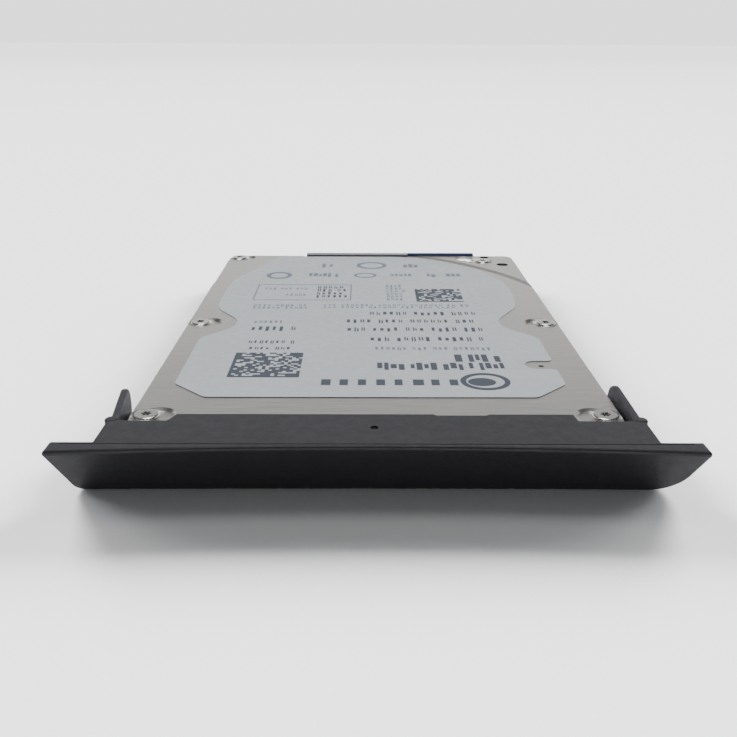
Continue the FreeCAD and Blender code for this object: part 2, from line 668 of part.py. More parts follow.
def suspension():
    z = disk_middle + arm_gap - 0.1
    beam = prism([(18.6, -1.9, 0.8), (24.0, -1.9, 2), (35.6, -0.55, 0.2), (35.6, 0.55, 0.2), (24.0, 1.9, 2),
                  (18.6, 1.9, 0.8)], z, z + 0.1)
    riser = box(35.3, 35.6, -0.3, 0.3, z, z + 0.4)
    tab = box(35.3, 38.2, -0.3, 0.3, z + 0.3, z + 0.4)
    rails = [prism([(24.8, side * 1.15, 0), (34.2, side * 0.45, 0),
                    (34.2, side * 0.3, 0), (24.8, side * 1.0, 0)],
                   z + 0.1, z + 0.3) for side in (-1, 1)]
    window = prism([(25.6, -0.5, 0.2), (30, -0.25, 0.1), (30, 0.25, 0.1), (25.6, 0.5, 0.2)], z - 1, z + 1)
    return beam.fuse([riser, tab] + rails).cut(window).removeSplitter()


def slider():
    top = disk_middle + arm_gap - 0.1
    return box(head_reach - 0.6, head_reach + 0.6, -0.45, 0.45, disk_top + 0.03, top)


def voice_coil():
    coil = sector(0, 0, 9.0, 18.0, 180 - 17, 180 + 17, coil_bottom, coil_top)
    return parked(coil.cut(sector(0, 0, 11.4, 15.6, 180 - 7, 180 + 7, 0, 10)))


def coil_frame():
    frame = sector(0, 0, hub_radius, 19.2, 180 - 21.5, 180 + 21.5, coil_bottom, coil_top)
    frame = frame.cut(sector(0, 0, 9.0, 18.0, 180 - 17, 180 + 17, 0, 10))
    return parked(frame)


def pivot_rings(inner, outer, z_sets):
    return group([tube(pivot_x, pivot_y, z0, z1, outer, inner) for z0, z1 in z_sets])


bearing_levels = [(2.75, 3.65), (4.35, 5.25)]
ball_count = 10


def pivot_balls():
    balls = []
    for z0, z1 in bearing_levels:
        for k in range(ball_count):
            place = polar(pivot_x, pivot_y, 2.3, 360 / ball_count * k)
            balls.append(Part.makeSphere(0.36, V(place.x, place.y, (z0 + z1) / 2)))
    return group(balls)


def pivot_shaft():
    shaft = rod(pivot_x, pivot_y, floor_top - 0.4, cover_bottom, 1.3)
    flange = rod(pivot_x, pivot_y, floor_top, floor_top + 0.15, 2.4)
    return shaft.fuse(flange).cut(rod(pivot_x, pivot_y, 4.3, 7, 0.62))


def pivot_screw():
    seat = cover_top - 0.35
    return screw_down(pivot_x, pivot_y, seat, 1.6, 0.3, 0.6, 4.5, 0.6)


# voice coil motor
def yoke_plate(z0, z1):
    plate = sector(pivot_x, pivot_y, 7.2, 20.0, magnet_direction - 36, magnet_direction + 34, z0, z1)
    ears = []
    for place in yoke_posts():
        ears.append(rod(place.x, place.y, z0, z1, 1.7))
    return plate.fuse(ears).removeSplitter()


def yoke_posts():
    return [polar(pivot_x, pivot_y, 21.0, magnet_direction - 32),
            polar(pivot_x, pivot_y, 21.0, magnet_direction + 20)]


def lower_yoke():
    posts = [rod(place.x, place.y, 2.85, 5.35, 1.1) for place in yoke_posts()]
    return yoke_plate(floor_top, 2.85).fuse(posts).removeSplitter()


def upper_yoke():
    return yoke_plate(5.35, 5.9)


def yoke_magnet(z0, z1):
    """Two poles side by side, with a small gap at the change of polarity."""
    return sector(pivot_x, pivot_y, 8.6, 18.4, magnet_direction - 31, magnet_direction + 31, z0, z1)


def load_ramp():
    """The plastic ramp that the lift tabs climb when the heads park."""
    start, end = parked_direction - 2.5, parked_direction + 4.5
    ramp = sector(pivot_x, pivot_y, 36.4, 38.4, start, end, disk_middle - 0.9, disk_middle + 0.9)
    ramp = ramp.cut(rod(spindle_x, spindle_y, disk_bottom - 0.15, disk_top + 0.15, disk_radius + 0.4))
    mount = sector(pivot_x, pivot_y, 38.4, 40.2, start, start + 4.4, floor_top, 5.6)
    foot = sector(pivot_x, pivot_y, 38.4, 40.2, start, start + 3.0, floor_top, 5.6)
    return ramp.fuse([mount, foot]).removeSplitter()


def crash_stops():
    frame_edge = 21.5
    gap = 4.1
    places = [polar(pivot_x, pivot_y, 16, coil_direction - frame_edge - gap),
              polar(pivot_x, pivot_y, 16, coil_direction + swing + frame_edge + gap)]
    posts = []
    for place in places:
        posts.append(rod(place.x, place.y, 3.45, 4.65, 0.9))
    return group(posts), group([rod(p.x, p.y, floor_top, 3.45, 0.9) for p in places])


latch_x, latch_y = 26.2, 64.6


def latch_lever():
    """Inertia latch: a small lever that catches the coil frame when the drive is knocked."""
    lever = capsule(latch_x, latch_y, 28.0, 70.2, 0.75, 3.3, 4.3)
    tail = capsule(latch_x, latch_y, 23.4, 62.6, 1.1, 3.3, 4.3)
    hub = rod(latch_x, latch_y, 3.1, 4.5, 1.3)
    return lever.fuse([tail, hub]).cut(rod(latch_x, latch_y, 3, 5, 0.56)).removeSplitter()


def latch_pin():
    return rod(latch_x, latch_y, floor_top, 4.9, 0.5).fuse(rod(latch_x, latch_y, floor_top, 3.0, 1.1))


# flexible circuit
flex_bottom, flex_top = 3.3, 4.9
flex_thickness = 0.14
flex_pad_start = 1.6
flex_loop_radius = 3.5
bracket_left = -10.4


def flex_pad():
    """The end of the flexible circuit that is glued along the arm block."""
    return parked(box(flex_pad_start, 6.6, pad_face - flex_thickness, pad_face, flex_bottom, flex_top))


def preamp_chip():
    back = pad_face - flex_thickness
    return parked(box(3.4, 5.9, back - 0.4, back, 3.5, 4.7))


def flex_loop():
    """The free loop of the flexible circuit, from the arm block round to the bracket."""
    outer = flex_loop_radius + flex_thickness
    centre = flex_loop_centre()
    top = centre.y + flex_loop_radius
    bend = sector(centre.x, centre.y, flex_loop_radius, outer,
                  parked_direction + 90, 90, flex_bottom, flex_top)
    run = box(bracket_left, centre.x, top, top + flex_thickness, flex_bottom, flex_top)
    return bend.fuse(run).removeSplitter()


def flex_loop_centre():
    """The loop leaves the pad along the arm and curls back over it."""
    turn = math.radians(parked_direction)
    x, y = flex_pad_start - 0.03, pad_face - flex_thickness - flex_loop_radius
    return V(pivot_x + x * math.cos(turn) - y * math.sin(turn),
             pivot_y + x * math.sin(turn) + y * math.cos(turn), 0)


def flex_bracket():
    plate = rounded_box(-22, -4.9, 81.4, 86.6, 2.95, 3.2, 0.4)
    top = flex_loop_centre().y + flex_loop_radius
    upright = box(bracket_left, -4.9, top - 0.7, top, 3.2, 5.0)
    return plate.fuse(upright).removeSplitter()


def head_connector():
    return rounded_box(-21, -7, 82, 86, board_top, 2.95, 0.3)


# filters and seals
def recirculation_filter():
    return rounded_box(28.7, 30.5, 54.4, 59.6, floor_top, 5.9, 0.5)


def carbon_filter():
    return rounded_box(-27.2, -18.4, 72.6, 79.6, floor_top, 5.6, 0.8)


def breather_filter():
    return rod(27.2, 22.95, 5.5, cover_bottom, 2.9)


def hole_seal():
    x, y, radius = cover_holes[0]
    return rod(x, y, 5.9, cover_top - 0.33, radius - 0.05)


# ---------------------------------------------------------------- assembly
def all_parts():
    upper_suspension, lower_suspension = both_sides(suspension)
    upper_slider, lower_slider = both_sides(slider)
    stop_tips, stop_posts = crash_stops()
    cover_screws = [screw_down(x, y, seat_z, screw_head_radius, screw_head_height,
                               screw_shank_radius, 3.2, 0.78) for x, y, way in cover_screw_sites]
    board_screws = [screw_up(x, y, board_bottom, 1.5, 0.4, 0.7, 2.1, 0.7) for x, y in board_screw_sites]
    return {
        "caddy_bezel": caddy_bezel(),
        "latch_arm_right": latch_arm(right_nose_y),
        "latch_arm_left": left_latch_arm(),
        "base_casting": base_casting(),
        "top_cover": top_cover(),
        "drive_label": label(),
        "cover_gasket": cover_gasket(),
        "cover_screws": group(cover_screws),
        "pivot_screw": pivot_screw(),
        "access_hole_seal": hole_seal(),
        "circuit_board": circuit_board(),
        "controller_chip": chip(-13, 76.5, 9, 9, 0.75),
        "memory_chip": chip(2.5, 67, 8, 6, 0.7),
        "motor_driver_chip": chip(13.0, 62, 6, 6, 0.7),
        "small_components": small_components(),
        "test_pads": test_pads(),
        "board_screws": group(board_screws),
        "board_foam_pad": rounded_box(3, 19, 77, 91.5, board_top, board_ceiling, 1.0),
        "motor_contact_block": box(-3, 3, 49.6, 50.5, 0.85, 1.9),
        "data_connector": data_connector(),
        "connector_contacts": connector_contacts(),
        "stator_core": stator_core(),
        "stator_coils": stator_coils(),
        "bearing_sleeve": bearing_sleeve(),
        "spindle_shaft": spindle_shaft(),
        "spindle_hub": spindle_hub(),
        "rotor_magnet": rotor_magnet(),
        "platter": platter(),
        "disk_clamp": disk_clamp(),
        "clamp_screws": clamp_screws(),
        "arm_block": arm_block(),
        "upper_suspension": parked(upper_suspension),
        "lower_suspension": parked(lower_suspension),
        "upper_head_slider": parked(upper_slider),
        "lower_head_slider": parked(lower_slider),
        "voice_coil": voice_coil(),
        "coil_frame": coil_frame(),
        "pivot_sleeve": tube(pivot_x, pivot_y, 2.65, 5.35, sleeve_radius, 3.2),
        "pivot_outer_rings": pivot_rings(2.7, 3.2, bearing_levels),
        "pivot_balls": pivot_balls(),
        "pivot_inner_rings": pivot_rings(1.3, 1.9, bearing_levels),
        "pivot_shaft": pivot_shaft(),
        "lower_yoke": lower_yoke(),
        "lower_magnet": yoke_magnet(2.85, 3.4),
        "upper_yoke": upper_yoke(),
        "upper_magnet": yoke_magnet(4.75, 5.35),
        "load_ramp": load_ramp(),
        "crash_stop_bumpers": stop_tips,
        "crash_stop_posts": stop_posts,
        "inertia_latch": latch_lever(),
        "latch_pin": latch_pin(),
        "flex_pad": flex_pad(),
        "preamp_chip": preamp_chip(),
        "flex_loop": flex_loop(),
        "flex_bracket": flex_bracket(),
        "head_connector": head_connector(),
        "recirculation_filter": recirculation_filter(),
        "carbon_filter": carbon_filter(),
        "breather_filter": breather_filter(),
    }


def main():
    os.makedirs("parts", exist_ok=True)
    for name, shape in all_parts().items():
        shape.translate(V(0, -origin_y, 0))
        solids = shape.Solids
        sound = all(s.isValid() and s.isClosed() and s.Volume > 0 for s in solids)
        volume = sum(solid.Volume for solid in solids)
        print(f"{name:24s} solids {len(solids):3d}  volume {volume:10.3f}  {'ok' if sound else 'BAD'}")
        shape.exportStep(f"parts/{name}.step")


main()
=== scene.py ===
"""Blender model of a 2.5-inch laptop hard disk drive in its caddy bezel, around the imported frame."""

import json
import math
import random

import bmesh
import bpy
from mathutils import Matrix, Vector


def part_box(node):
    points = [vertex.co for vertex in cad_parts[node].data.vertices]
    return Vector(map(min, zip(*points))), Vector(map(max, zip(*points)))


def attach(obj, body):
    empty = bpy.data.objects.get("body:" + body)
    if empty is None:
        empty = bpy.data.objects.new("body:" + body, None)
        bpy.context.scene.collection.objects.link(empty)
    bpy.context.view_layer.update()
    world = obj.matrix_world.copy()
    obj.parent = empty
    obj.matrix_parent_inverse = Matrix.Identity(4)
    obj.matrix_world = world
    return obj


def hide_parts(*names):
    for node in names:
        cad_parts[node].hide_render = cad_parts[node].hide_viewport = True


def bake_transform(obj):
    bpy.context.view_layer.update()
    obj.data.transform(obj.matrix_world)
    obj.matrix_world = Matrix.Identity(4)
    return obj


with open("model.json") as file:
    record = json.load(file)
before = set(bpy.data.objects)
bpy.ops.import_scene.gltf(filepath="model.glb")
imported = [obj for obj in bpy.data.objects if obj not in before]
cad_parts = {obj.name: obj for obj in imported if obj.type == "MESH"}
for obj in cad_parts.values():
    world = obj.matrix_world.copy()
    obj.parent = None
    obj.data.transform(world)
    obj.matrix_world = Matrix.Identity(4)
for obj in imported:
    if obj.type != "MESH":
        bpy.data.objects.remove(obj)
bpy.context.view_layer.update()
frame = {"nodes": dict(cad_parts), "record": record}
nodes = frame["nodes"]

MM = 0.001

# distances below are in the drive's own frame: x 0 in its middle, y 0 at the casting's front end
drive_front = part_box("base_casting")[0][1]
label_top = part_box("drive_label")[1][2]
cover_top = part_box("top_cover")[1][2]


def place(x, y, z=0.0):
    """A point from millimetres in the drive's frame, z above the drive's underside."""
    return Vector((x * MM, drive_front + y * MM, z * MM))


# ---------------------------------------------------------------- node materials
class Nodes:
    """A short way to write a node material."""

    def __init__(self, name, **uniform):
        self.material = bpy.data.materials.new(name)
        self.material.use_nodes = True
        self.tree = self.material.node_tree
        self.shader = self.tree.nodes["Principled BSDF"]
        for key, value in uniform.items():
            self.shader.inputs[key.replace("_", " ")].default_value = value

    def add(self, kind, **settings):
        node = self.tree.nodes.new("ShaderNode" + kind)
        for key, value in settings.items():
            if key in node.bl_rna.properties.keys():
                setattr(node, key, value)
            else:
                node.inputs[key.replace("_", " ")].default_value = value
        return node

    def link(self, source, target):
        self.tree.links.new(source, target)

    def coordinates(self, stretch=(1, 1, 1)):
        place_node = self.add("TexCoord")
        mapping = self.add("Mapping")
        mapping.inputs["Scale"].default_value = stretch
        self.link(place_node.outputs["Object"], mapping.inputs["Vector"])
        return mapping.outputs["Vector"]

    def noise(self, scale, detail=3.0, rough=0.5, stretch=(1, 1, 1)):
        node = self.add("TexNoise")
        node.inputs["Scale"].default_value = scale
        node.inputs["Detail"].default_value = detail
        node.inputs["Roughness"].default_value = rough
        self.link(self.coordinates(stretch), node.inputs["Vector"])
        return node.outputs["Fac"]

    def ramp(self, value, stops):
        node = self.add("ValToRGB")
        ramp = node.color_ramp
        while len(ramp.elements) < len(stops):
            ramp.elements.new(0.5)
        for element, (spot, color) in zip(ramp.elements, stops):
            element.position = spot
            element.color = (*color, 1)
        self.link(value, node.inputs["Fac"])
        return node.outputs["Color"]

    def spread(self, value, low, high, start=0.3, end=0.7):
        node = self.add("MapRange")
        node.inputs["From Min"].default_value = start
        node.inputs["From Max"].default_value = end
        node.inputs["To Min"].default_value = low
        node.inputs["To Max"].default_value = high
        self.link(value, node.inputs["Value"])
        return node.outputs["Result"]

    def mix(self, factor, a, b):
        node = self.add("Mix", data_type="RGBA")
        for value, name in ((factor, "Factor"), (a, 6), (b, 7)):
            socket = node.inputs[name]
            if isinstance(value, bpy.types.NodeSocket):
                self.link(value, socket)
            else:
                socket.default_value = (*value, 1) if name != "Factor" else value
        return node.outputs[2]

    def bump(self, height, distance, strength=1.0):
        node = self.add("Bump")
        node.inputs["Strength"].default_value = strength
        node.inputs["Distance"].default_value = distance
        self.link(height, node.inputs["Height"])
        self.link(node.outputs["Normal"], self.shader.inputs["Normal"])

    def color(self, socket):
        self.link(socket, self.shader.inputs["Base Color"])

    def roughness(self, socket):
        self.link(socket, self.shader.inputs["Roughness"])


def shade(color, factor):
    return tuple(min(1.0, c * factor) for c in color)


def moulded(name, color, grain, depth, rough, spread=0.12, gloss=0.45, cloud=0.14):
    """Spark-eroded moulded plastic: fine grain in relief, slightly uneven gloss and wear."""
    m = Nodes(name, Specular_IOR_Level=gloss)
    patches = m.noise(90.0, 4.0, 0.6)
    m.color(m.ramp(patches, [(0.3, shade(color, 1 - cloud)), (0.7, shade(color, 1 + cloud))]))
    m.roughness(m.spread(m.noise(700.0, 2.0), rough - spread / 2, rough + spread / 2))
    m.bump(m.noise(grain, 3.0, 0.6), depth * MM)
    return m.material


def brushed(name, color, rough=0.32, along="x", streak=9000.0, depth=0.004):
    """Rolled and brushed metal with streaks along one axis and warmer, smoother patches."""
    m = Nodes(name, Metallic=1.0)
    fine = m.noise(streak, 4.0, 0.65, [0.012 if axis == along else 1 for axis in "xyz"])
    broad = m.noise(60.0, 3.0, 0.5, [0.3 if axis == along else 1 for axis in "xyz"])
    tone = m.ramp(fine, [(0.25, shade(color, 0.70)), (0.5, color), (0.75, shade(color, 1.25))])
    warm = tuple(c * w for c, w in zip(shade(color, 1.05), (1.0, 0.985, 0.955)))
    m.color(m.mix(m.spread(broad, 0.0, 0.35), tone, warm))
    m.roughness(m.spread(fine, rough - 0.07, rough + 0.09))
    m.bump(fine, depth * MM, 0.6)
    return m.material


def cast(name, color, rough=0.42, grain=900.0, depth=0.02):
    """Die-cast or machined metal with a faint cloudy surface."""
    m = Nodes(name, Metallic=1.0)
    cloud = m.noise(180.0, 5.0, 0.6)
    m.color(m.ramp(cloud, [(0.3, shade(color, 0.86)), (0.7, shade(color, 1.1))]))
    m.roughness(m.spread(m.noise(grain, 3.0), rough - 0.08, rough + 0.1))
    m.bump(m.noise(grain * 2, 3.0, 0.6), depth * MM)
    return m.material


def turned(name, color, centre, rough=0.25, pitch=5200.0):
    """Lathe-turned metal: rings about an upright axis."""
    m = Nodes(name, Metallic=1.0)
    shift = m.add("VectorMath", operation="SUBTRACT")
    place_node = m.add("TexCoord")
    m.link(place_node.outputs["Object"], shift.inputs[0])
    shift.inputs[1].default_value = (centre[0], centre[1], 0)
    flat = m.add("VectorMath", operation="MULTIPLY")
    m.link(shift.outputs[0], flat.inputs[0])
    flat.inputs[1].default_value = (1, 1, 0)
    length = m.add("VectorMath", operation="LENGTH")
    m.link(flat.outputs[0], length.inputs[0])
    rings = m.add("TexNoise", noise_dimensions="1D")
    m.link(length.outputs["Value"], rings.inputs["W"])
    rings.inputs["Scale"].default_value = pitch
    ring = rings.outputs["Fac"]
    m.color(m.ramp(ring, [(0.3, shade(color, 0.85)), (0.7, shade(color, 1.12))]))
    m.roughness(m.spread(ring, rough - 0.05, rough + 0.08))
    m.bump(ring, 0.003 * MM, 0.5)
    return m.material


def paper(name, color):
    """Matt printed film over metal: very fine fibre, slight mottling."""
    m = Nodes(name, Specular_IOR_Level=0.35)
    cloud = m.noise(120.0, 4.0, 0.55)
    fibre = m.noise(5200.0, 3.0, 0.7)
    tone = m.ramp(cloud, [(0.3, shade(color, 0.965)), (0.7, shade(color, 1.02))])
    m.color(m.mix(m.spread(fibre, 0.0, 0.12), tone, shade(color, 0.8)))
    m.roughness(m.spread(m.noise(900.0, 2.0), 0.46, 0.60))
    m.bump(fibre, 0.004 * MM, 0.5)
    return m.material


def ink(name, color):
    """Printed ink with tiny gaps where the film's grain shows."""
    m = Nodes(name, Specular_IOR_Level=0.3)
    grain = m.noise(4200.0, 3.0, 0.7)
    m.color(m.ramp(grain, [(0.25, shade(color, 0.85)), (0.75, shade(color, 1.2))]))
    m.roughness(m.spread(grain, 0.5, 0.65))
    return m.material


def laminate(name, color, trace):
    """Circuit board: solder mask over faint copper tracks."""
    m = Nodes(name, Coat_Weight=0.3, Coat_Roughness=0.2)
    lanes = m.add("TexBrick", offset=0.5, squash=0.7)
    lanes.inputs["Scale"].default_value = 420.0
    lanes.inputs["Mortar Size"].default_value = 0.05
    lanes.inputs["Brick Width"].default_value = 0.9
    lanes.inputs["Row Height"].default_value = 0.3
    m.link(m.coordinates(), lanes.inputs["Vector"])
    lanes.inputs["Color1"].default_value = (*color, 1)
    lanes.inputs["Color2"].default_value = (*shade(color, 1.25), 1)
    lanes.inputs["Mortar"].default_value = (*trace, 1)
    m.color(m.mix(m.spread(m.noise(260.0), 0.0, 0.25), lanes.outputs["Color"], shade(color, 0.7)))
    m.roughness(m.spread(m.noise(1500.0), 0.28, 0.42))
    m.bump(lanes.outputs["Fac"], 0.01 * MM, 0.5)
    return m.material


def soft(name, color, grain=1600.0, depth=0.05):
    """Rubber, foam or felt."""
    m = Nodes(name, Specular_IOR_Level=0.25)
    speck = m.noise(grain, 4.0, 0.7)
    m.color(m.ramp(speck, [(0.3, shade(color, 0.75)), (0.7, shade(color, 1.2))]))
    m.roughness(m.spread(speck, 0.75, 0.95))
    m.bump(speck, depth * MM)
    return m.material


def polished(name, color, rough=0.05):
    """Mirror-finished metal with a faint haze."""
    m = Nodes(name, Metallic=1.0)
    haze = m.noise(300.0, 3.0)
    m.color(m.ramp(haze, [(0.3, shade(color, 0.97)), (0.7, shade(color, 1.02))]))
    m.roughness(m.spread(haze, rough, rough + 0.04))
    return m.material


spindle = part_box("platter")
spindle_centre = ((spindle[0][0] + spindle[1][0]) / 2, (spindle[0][1] + spindle[1][1]) / 2)

finishes = {
    "bezel_plastic": moulded("bezel_plastic", (0.0112, 0.0110, 0.0130), 3400.0, 0.03, 0.52, 0.08, 0.22, 0.05),
    "cast_aluminium": cast("cast_aluminium", (0.50, 0.50, 0.51)),
    "brushed_steel": brushed("brushed_steel", (0.53, 0.515, 0.485)),
    "label_paper": paper("label_paper", (0.196, 0.209, 0.220)),
    "gasket_rubber": soft("gasket_rubber", (0.03, 0.03, 0.03)),
    "screw_steel": cast("screw_steel", (0.60, 0.59, 0.57), 0.24, 1500.0, 0.006),
    "seal_film": paper("seal_film", (0.85, 0.86, 0.86)),
    "board_blue": laminate("board_blue", (0.012, 0.075, 0.26), (0.03, 0.17, 0.42)),
    "chip_black": moulded("chip_black", (0.022, 0.022, 0.024), 3600.0, 0.012, 0.6),
    "component_tan": moulded("component_tan", (0.42, 0.31, 0.19), 4200.0, 0.01, 0.5),
    "contact_gold": polished("contact_gold", (0.85, 0.62, 0.26), 0.18),
    "foam_grey": soft("foam_grey", (0.12, 0.12, 0.13), 1400.0, 0.12),
    "connector_plastic": moulded("connector_plastic", (0.018, 0.018, 0.02), 3000.0, 0.01, 0.42),
    "stator_steel": brushed("stator_steel", (0.30, 0.30, 0.31), 0.4),
    "coil_copper": brushed("coil_copper", (0.70, 0.27, 0.10), 0.3, "y", 5200.0, 0.02),
    "bearing_steel": polished("bearing_steel", (0.66, 0.66, 0.68), 0.12),
    "hub_aluminium": turned("hub_aluminium", (0.72, 0.72, 0.74), spindle_centre),
    "magnet_nickel": polished("magnet_nickel", (0.60, 0.58, 0.54), 0.16),
    "disk_mirror": polished("disk_mirror", (0.82, 0.82, 0.84), 0.02),
    "arm_aluminium": cast("arm_aluminium", (0.66, 0.66, 0.68), 0.3, 1500.0, 0.004),
    "spring_steel": brushed("spring_steel", (0.60, 0.59, 0.56), 0.22),
    "slider_ceramic": moulded("slider_ceramic", (0.04, 0.04, 0.045), 6000.0, 0.002, 0.2),
    "frame_plastic": moulded("frame_plastic", (0.07, 0.07, 0.08), 3000.0, 0.01, 0.5),
    "ramp_plastic": moulded("ramp_plastic", (0.76, 0.73, 0.64), 3000.0, 0.006, 0.4),
    "bumper_rubber": soft("bumper_rubber", (0.04, 0.04, 0.04)),
    "flex_film": brushed("flex_film", (0.62, 0.27, 0.05), 0.3, "z", 2600.0, 0.004),
    "filter_cloth": soft("filter_cloth", (0.82, 0.82, 0.80), 1200.0, 0.1),
}

slot_of = {entry["node"]: entry["material_slot"] for entry in frame["record"]["subparts"]}
for node_name, obj in nodes.items():
    obj.data.materials.clear()
    obj.data.materials.append(finishes[slot_of[node_name]])


# ---------------------------------------------------------------- mesh helpers
def piece(name, mesh, material, body):
    """A finished mesh as an object that rides on a body, or on none."""
    obj = bpy.data.objects.new(name, mesh)
    bpy.context.scene.collection.objects.link(obj)
    obj.data.materials.append(material)
    if body:
        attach(obj, body)
    return obj


def from_bmesh(name, bm):
    mesh = bpy.data.meshes.new(name)
    bmesh.ops.recalc_face_normals(bm, faces=bm.faces)
    bm.to_mesh(mesh)
    bm.free()
    return mesh


def slab(bm, points, low, high):
    """A thin plate over a closed outline of (x, y) millimetre points; low and high in metres."""
    bottom = [bm.verts.new((x * MM, drive_front + y * MM, low)) for x, y in points]
    top = [bm.verts.new((x * MM, drive_front + y * MM, high)) for x, y in points]
    count = len(points)
    bm.faces.new(top)
    bm.faces.new(list(reversed(bottom)))
    for i in range(count):
        j = (i + 1) % count
        bm.faces.new((bottom[i], bottom[j], top[j], top[i]))


def bar(bm, x0, x1, y0, y1, low, high):
    slab(bm, [(x0, y0), (x1, y0), (x1, y1), (x0, y1)], low, high)


def ring_points(x, y, radius_x, radius_y, count):
    turns = [2 * math.pi * k / count for k in range(count)]
    return [(x + radius_x * math.cos(turn), y + radius_y * math.sin(turn)) for turn in turns]


def ring(bm, x, y, radius_x, radius_y, width, low, high, count=48):
    """A flat closed band."""
    outer = ring_points(x, y, radius_x, radius_y, count)
    inner = ring_points(x, y, radius_x - width, radius_y - width, count)
    loops = []
    for points, level in ((outer, low), (outer, high), (inner, high), (inner, low)):
        loops.append([bm.verts.new((px * MM, drive_front + py * MM, level)) for px, py in points])
    for a, b in zip(loops, loops[1:] + loops[:1]):
        for i in range(count):
            j = (i + 1) % count
            bm.faces.new((a[i], a[j], b[j], b[i]))


# ---------------------------------------------------------------- generic print on the label
print_low = label_top - 0.01 * MM
print_high = label_top + 0.012 * MM
print_ink = ink("print_ink", (0.022, 0.027, 0.036))
faint_ink = ink("faint_ink", (0.062, 0.078, 0.10))
rng = random.Random(71)


def stroke(bm, x, width, low, high):
    """One plain upright block, or two thin ones side by side; it is no letter."""
    drop = (high - low) * rng.choice((0, 0, 0.22))
    if rng.random() < 0.5:
        bar(bm, x, x + width * 0.62, low, high - drop, print_low, print_high)
        return
    for start, cut in ((0.0, 0.0), (0.5, drop)):
        bar(bm, x + width * start, x + width * (start + 0.28), low, high - cut, print_low, print_high)


def blocks(bm, x0, x1, y0, y1, width, gap):
    """One row of plain blocks of uneven width and height."""
    x = x0
    while x + width * 0.6 <= x1:
        end = min(x + width * rng.uniform(0.7, 1.3), x1)
        low = y0 + (y1 - y0) * rng.choice((0, 0.22))
        high = y1 - (y1 - y0) * rng.choice((0, 0, 0.2))
        bar(bm, x, end, low, high, print_low, print_high)
        x = end + gap * rng.choice((1, 1, 1, 1, 3.2))


def greeked(bm, x0, x1, y0, y1, width=1.0, lines=1):
    """Rows of small marks that stand for words; they spell nothing."""
    pitch = (y1 - y0) / lines
    for line in range(lines):
        low, high = y0 + line * pitch, y0 + (line + 1) * pitch - (0.3 if lines > 1 else 0)
        x = x0
        word = rng.randint(3, 7)
        while x + width <= x1:
            inset = 0 if rng.random() < 0.3 else (high - low) * 0.2
            stroke(bm, x, width * rng.uniform(0.8, 1.05), low + inset, high)
            x += width * 1.28
            word -= 1
            if word == 0:
                x += width * 0.9
                word = rng.randint(3, 7)


def matrix_mark(bm, x0, y0, size, cells):
    """A square of random cells in the manner of a machine-readable mark; it encodes nothing."""
    cell = size / cells
    for row in range(cells):
        run = None
        for column in range(cells + 1):
            solid = column < cells and (row == 0 or column == 0 or rng.random() < 0.62)
            if solid and run is None:
                run = column
            if not solid and run is not None:
                low = y0 + row * cell
                high = y0 + (row + 1) * cell * 0.9999
                bar(bm, x0 + run * cell, x0 + column * cell, low, high, print_low, print_high)
                run = None


def dark_print():
    """The label's strong marks; every distance is in millimetres in the drive's frame."""
    bm = bmesh.new()
    matrix_mark(bm, -23.4, 17.5, 11.4, 20)
    matrix_mark(bm, 9.0, 59.6, 9.6, 16)
    # a row of spaced marks and the round mark beside it
    for k in range(8):
        x = -8.4 + k * 2.85
        bar(bm, x, x + rng.uniform(1.2, 1.7), 14.3, 16.7, print_low, print_high)
    ring(bm, 17.15, 15.95, 3.9, 3.6, 0.9, print_low, print_high)
    slab(bm, ring_points(16.6, 15.7, 2.2, 1.7, 24), print_low, print_high)
    blocks(bm, 0.4, 21.1, 20.9, 24.2, 0.85, 0.32)
    blocks(bm, 13.4, 21.1, 24.7, 28.2, 0.95, 0.34)
    for x0, y0, y1 in ((-0.6, 35.0, 37.3), (-4.8, 40.4, 42.8), (-5.0, 45.4, 47.6), (-0.6, 50.4, 52.6)):
        greeked(bm, x0, 21.0, y0, y1, 1.0)
    greeked(bm, -22.4, -12.9, 40.6, 43.2, 1.0)
    greeked(bm, -22.0, -13.0, 33.6, 35.2, 0.75)
    greeked(bm, -21.5, -13.6, 30.4, 31.8, 0.75)
    greeked(bm, -11.6, -4.9, 62.2, 71.6, 0.9, 4)
    piece("label_print", from_bmesh("label_print", bm), print_ink, "chassis")


def faint_print():
    """The label's pale marks."""
    bm = bmesh.new()
    greeked(bm, 0.2, 21.0, 30.3, 32.0, 0.75)
    greeked(bm, -9.8, 17.0, 55.0, 58.0, 0.75, 2)
    greeked(bm, 17.6, 19.6, 55.9, 57.8, 0.8)
    greeked(bm, 3.0, 7.2, 60.4, 72.6, 0.7, 6)
    greeked(bm, -23.8, -12.6, 54.4, 57.7, 0.75, 2)
    greeked(bm, -22.8, -13.0, 68.5, 70.0, 0.7)
    greeked(bm, -18.0, -13.0, 63.9, 65.2, 0.7)
    greeked(bm, -22.4, -16.2, 45.1, 46.8, 0.75)
    for x0, x1, y0, y1 in ((-24.6, -4.4, 60.6, 60.85), (-24.6, -4.4, 72.4, 72.65),
                           (-24.6, -24.35, 60.85, 72.4), (-4.65, -4.4, 60.85, 72.4)):
        bar(bm, x0, x1, y0, y1, print_low, print_high)
    # two rows of plain rings and blocks
    ring(bm, -20.9, 80.4, 2.9, 3.0, 1.0, print_low, print_high)
    ring(bm, -1.5, 80.6, 2.6, 2.2, 0.7, print_low, print_high)
    ring(bm, 0.0, 89.8, 3.6, 3.3, 1.0, print_low, print_high)
    for x0, x1, y0, y1 in ((-14.2, -7.6, 79.0, 82.4), (4.3, 9.6, 79.6, 82.0), (12.5, 15.6, 79.2, 82.2),
                           (16.8, 20.0, 79.2, 82.2), (-11.6, -8.2, 87.8, 91.4), (7.5, 11.5, 88.0, 91.2)):
        blocks(bm, x0, x1, y0, y1, 0.75, 0.3)
    piece("label_print_faint", from_bmesh("label_print_faint", bm), faint_ink, "chassis")


dark_print()
faint_print()


